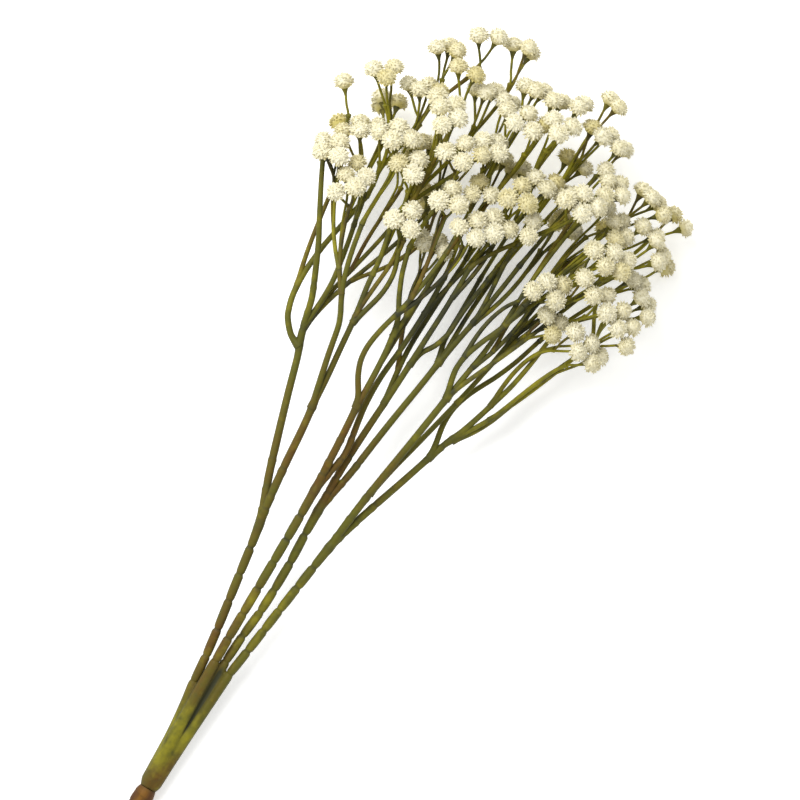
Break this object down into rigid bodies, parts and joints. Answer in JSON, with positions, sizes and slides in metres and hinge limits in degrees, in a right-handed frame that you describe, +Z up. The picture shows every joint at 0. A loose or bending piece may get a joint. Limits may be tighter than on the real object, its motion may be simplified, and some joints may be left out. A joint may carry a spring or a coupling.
{
  "type": "artificial gypsophila stem",
  "caption": "Moulded gypsophila stem with a cut end, a ribbed sheath, jointed branching sprays and bunches of small cream flower heads, lying down.",
  "frame": {"origin": "below the middle of the whole stem, on the surface that it lies on", "axes": "+X from the cut end to the flower heads, +Z up from the surface"},
  "size_m": [0.4038, 0.1792, 0.0701],
  "materials": {
    "stub": "brown wrapped stem end, satin",
    "sheath": "olive moulded plastic with brown shading, satin",
    "stems": "olive moulded plastic with brown and dark green shading, satin",
    "petals": "cream moulded foam-like petals, matte"
  },
  "bodies": {
    "root": {"trunk_stub": "stub", "trunk_sheath": "sheath", "spray_a": "stems", "spray_b": "stems", "spray_c": "stems", "spray_d": "stems", "flower_heads_01": "petals", "flower_heads_02": "petals", "flower_heads_03": "petals", "flower_heads_04": "petals", "flower_heads_05": "petals", "flower_heads_06": "petals", "flower_heads_07": "petals", "flower_heads_08": "petals", "flower_heads_09": "petals", "flower_heads_10": "petals", "flower_heads_11": "petals", "flower_heads_12": "petals", "flower_heads_13": "petals", "flower_heads_14": "petals", "flower_heads_15": "petals", "flower_heads_16": "petals", "flower_heads_17": "petals", "flower_heads_18": "petals", "flower_heads_19": "petals", "flower_heads_20": "petals", "flower_heads_21": "petals", "flower_heads_22": "petals", "flower_heads_23": "petals", "flower_heads_24": "petals", "flower_heads_25": "petals", "flower_heads_26": "petals", "flower_heads_27": "petals", "flower_heads_28": "petals", "flower_heads_29": "petals", "flower_heads_30": "petals", "flower_heads_31": "petals", "flower_heads_32": "petals", "flower_heads_33": "petals", "flower_heads_34": "petals", "flower_heads_35": "petals", "flower_heads_36": "petals", "flower_heads_37": "petals", "flower_heads_38": "petals", "flower_heads_39": "petals", "flower_heads_40": "petals", "flower_heads_41": "petals", "flower_heads_42": "petals", "flower_heads_43": "petals", "flower_heads_44": "petals", "flower_heads_45": "petals", "flower_heads_46": "petals", "flower_heads_47": "petals", "flower_heads_48": "petals", "flower_heads_49": "petals", "flower_heads_50": "petals", "flower_heads_51": "petals", "flower_heads_52": "petals", "flower_heads_53": "petals", "flower_heads_54": "petals"}
  },
  "joints": []
}
